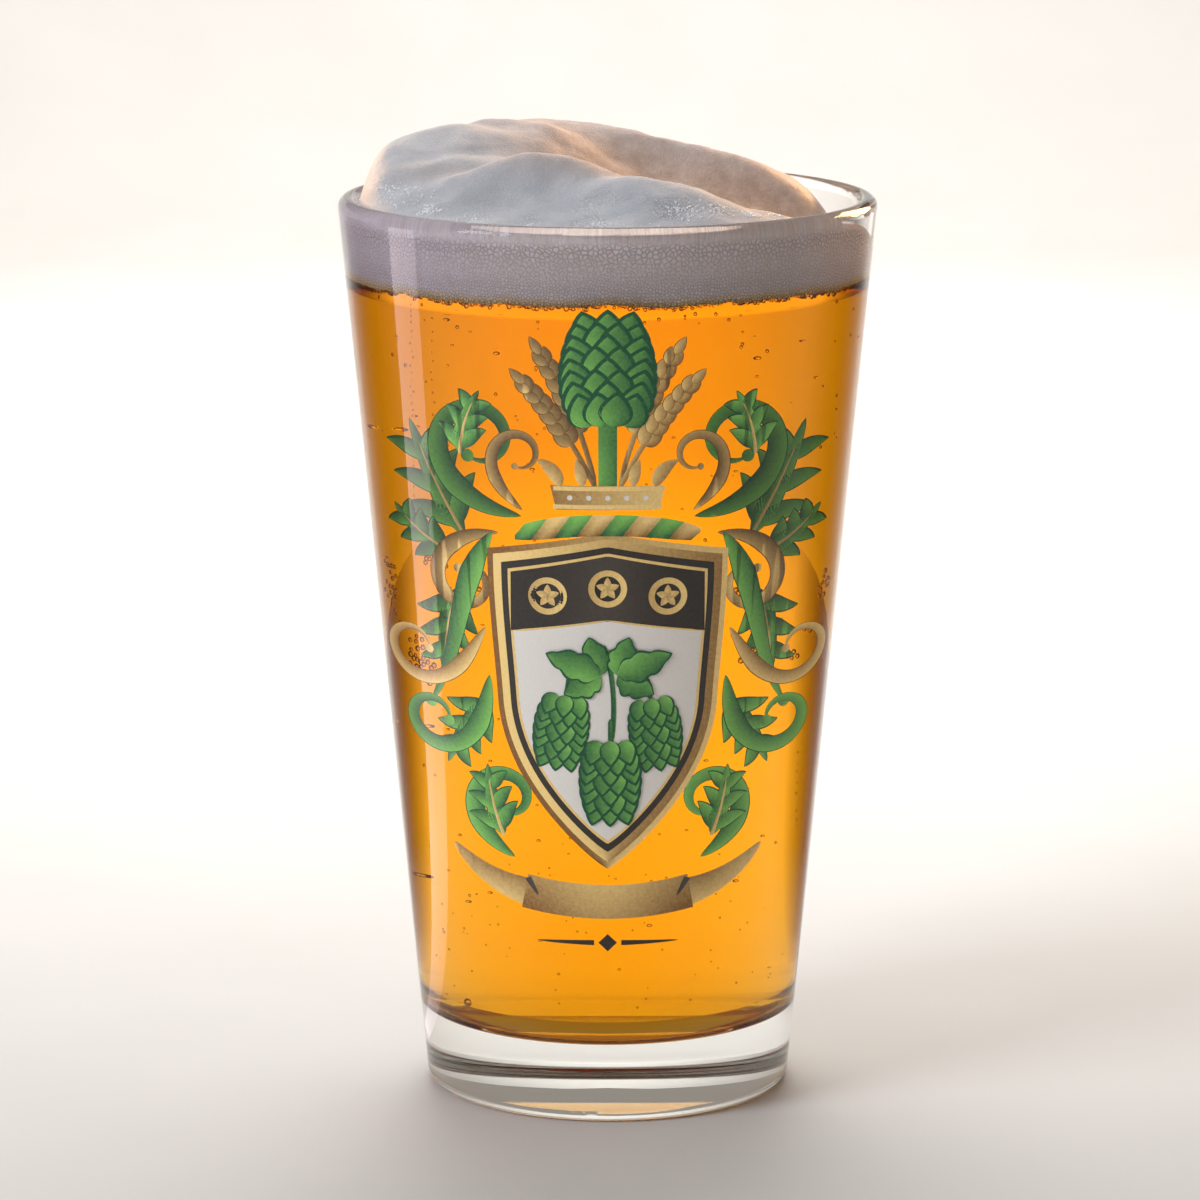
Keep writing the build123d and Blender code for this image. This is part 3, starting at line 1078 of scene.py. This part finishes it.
def build_flags():
    # Dark cards low on both sides behind the glass, seen only in it: they darken the beer's edges.
    first, last, steps, height = 28.0, 84.0, 24, 1.5
    reach = np.array([50.0, 70.0, 100.0, 150.0, 400.0, 900.0])
    wide = len(reach)
    for side, name in ((-1, "studio_flag_left"), (1, "studio_flag_right")):
        points, dark = [], []
        for t in np.linspace(0, 1, steps + 1):
            a = math.radians(first + (last - first) * t)
            points += [(side * r * math.sin(a), r * math.cos(a), height) for r in reach]
            dark += list(math.sin(math.pi * t) ** 0.8 * smooth(50.0, 150.0, reach))
        corners = [i * wide + j for i in range(steps) for j in range(wide - 1)]
        faces = [(k, k + wide, k + wide + 1, k + 1)[::side] for k in corners]
        flag = make_object(name, points, faces, {"dark": dark}, shade=False)
        look = Look(name)
        look.drive("Base Color", look.between(look.noise(60.0, 2.0), (0.09, 0.04, 0.02), (0.12, 0.055, 0.03)))
        look.drive("Alpha", look.math("MULTIPLY", look.value("dark"), look.upper_side()))
        look.set(Roughness=1.0, Specular_IOR_Level=0.0)
        flag.data.materials.append(look.material)
        flag.visible_camera = False
        flag.visible_diffuse = False
        flag.visible_shadow = False


def add_light(name, place, aim, size, power, colour):
    lamp = bpy.data.lights.new(name, "AREA")
    lamp.energy = power
    lamp.color = colour
    lamp.size = size * MM
    light = bpy.data.objects.new(name, lamp)
    light.location = Vector(place) * MM
    light.rotation_euler = (Vector(aim) - Vector(place)).to_track_quat("-Z", "Y").to_euler()
    light.visible_transmission = False
    bpy.context.scene.collection.objects.link(light)
    return light


def light_studio():
    add_light("key_soft", (-760, -560, 520), (0, 0, 130), 420, 5.8, (0.88, 0.93, 1.0))
    # Washes that brighten the floor behind the glass, which is what shows through the beer.
    pale = (1.0, 0.97, 0.93)
    far_wash = add_light("far_wash", (0, 770, 520), (0, 820, 0), 320, 3.9, pale)
    near_wash = add_light("near_wash", (0, 280, 420), (0, 280, 0), 300, 1.6, pale)
    far_wash.visible_glossy = False
    near_wash.visible_glossy = False
    # Warm bounce from behind, kept off the floor.
    for name, place, power, lit in (("warm_right", (330, 360, 300), 3.6, (foam_top, foam_sparkle, glass)),
                                    ("warm_left", (-300, 420, 260), 1.3, (foam_top, foam_sparkle))):
        light = add_light(name, place, (0, 0, 152), 220, power, (1.0, 0.56, 0.24))
        receivers = bpy.data.collections.new(name)
        for piece in lit:
            receivers.objects.link(piece)
        light.light_linking.receiver_collection = receivers


build_stage()
build_stripe()
build_flags()
light_studio()

world = bpy.data.worlds.new("room")
world.use_nodes = True
world.node_tree.nodes["Background"].inputs["Color"].default_value = (1.0, 0.90, 0.80, 1.0)
world.node_tree.nodes["Background"].inputs["Strength"].default_value = 0.30
bpy.context.scene.world = world

# A long lens from the front, a little above the rim and looking down, as in the photo.
camera = bpy.data.objects.new("camera", bpy.data.cameras.new("camera"))
camera.data.lens = 166.6
camera.data.sensor_width = 36.0
camera.data.shift_x = -0.0064
camera.data.clip_start = 0.05
camera.location = (0.0, -0.9105, 0.2609)
camera.rotation_euler = (math.radians(90 - 11.12), 0.0, 0.0)
bpy.context.scene.collection.objects.link(camera)
bpy.context.scene.camera = camera

scene = bpy.context.scene
scene.view_settings.view_transform = "Standard"
scene.cycles.max_bounces = 24
scene.cycles.diffuse_bounces = 8
scene.cycles.transmission_bounces = 20
scene.cycles.glossy_bounces = 8
scene.cycles.transparent_max_bounces = 16
